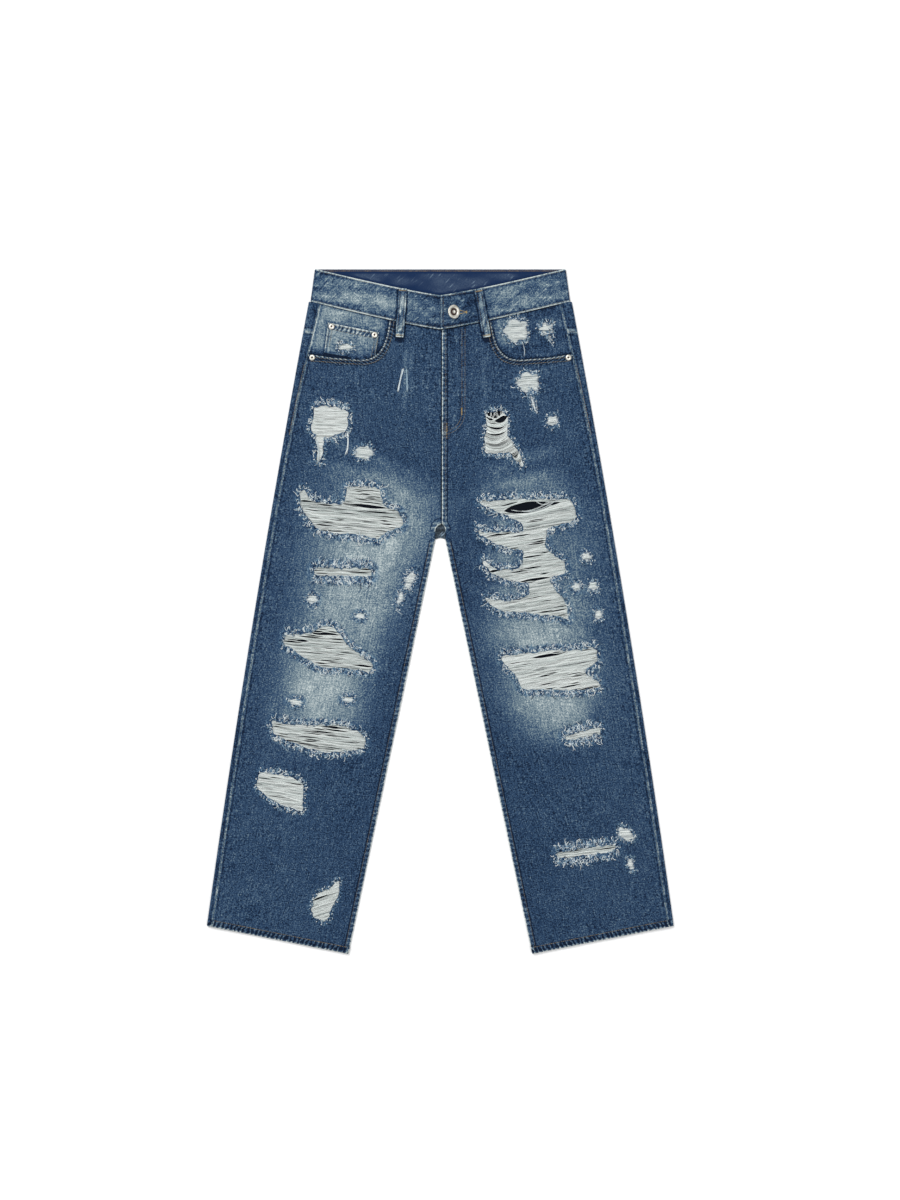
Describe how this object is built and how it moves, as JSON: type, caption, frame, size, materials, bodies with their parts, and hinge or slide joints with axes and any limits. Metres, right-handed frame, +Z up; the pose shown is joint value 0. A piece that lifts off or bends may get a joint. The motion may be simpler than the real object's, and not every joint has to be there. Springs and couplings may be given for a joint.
{
  "type": "ripped denim jeans",
  "caption": "Long trousers of faded blue denim with torn thighs and knees, laid flat and front up to rest on a surface.",
  "frame": {"origin": "on the surface that the garment lies on, under the middle of its bounding box", "axes": "+Z up out of the surface, +Y from the hems towards the waistband, +X towards the wearer's left leg"},
  "size_m": [0.6998, 1.0261, 0.0204],
  "materials": {
    "denim": "mid blue denim twill, faded along the thighs",
    "denim_faded": "washed-out grey-blue denim twill",
    "denim_band": "folded denim with worn, pale edges",
    "weft_threads": "bare off-white cotton threads",
    "zip_tape": "woven navy tape",
    "nickel": "satin nickel, a little worn"
  },
  "bodies": {
    "root": {"back_leg_left": "denim", "back_leg_right": "denim", "yoke_left": "denim", "yoke_right": "denim", "front_leg_left": "denim", "front_leg_right": "denim", "pocket_facing_left": "denim_faded", "pocket_facing_right": "denim_faded", "coin_pocket": "denim_faded", "waistband": "denim_band", "belt_loop_left": "denim_band", "belt_loop_right": "denim_band", "zip": "zip_tape", "button": "nickel", "rivet_pocket_left": "nickel", "rivet_pocket_right": "nickel", "rivet_coin_outer": "nickel", "rivet_coin_inner": "nickel", "threads_right_hip": "weft_threads", "threads_right_thigh": "weft_threads", "threads_right_thigh_slit": "weft_threads", "threads_right_knee": "weft_threads", "threads_right_shin": "weft_threads", "threads_right_calf": "weft_threads", "threads_right_ankle": "weft_threads", "threads_left_hip": "weft_threads", "threads_left_thigh": "weft_threads", "threads_left_knee": "weft_threads", "threads_left_shin": "weft_threads", "threads_left_ankle": "weft_threads"}
  },
  "joints": []
}
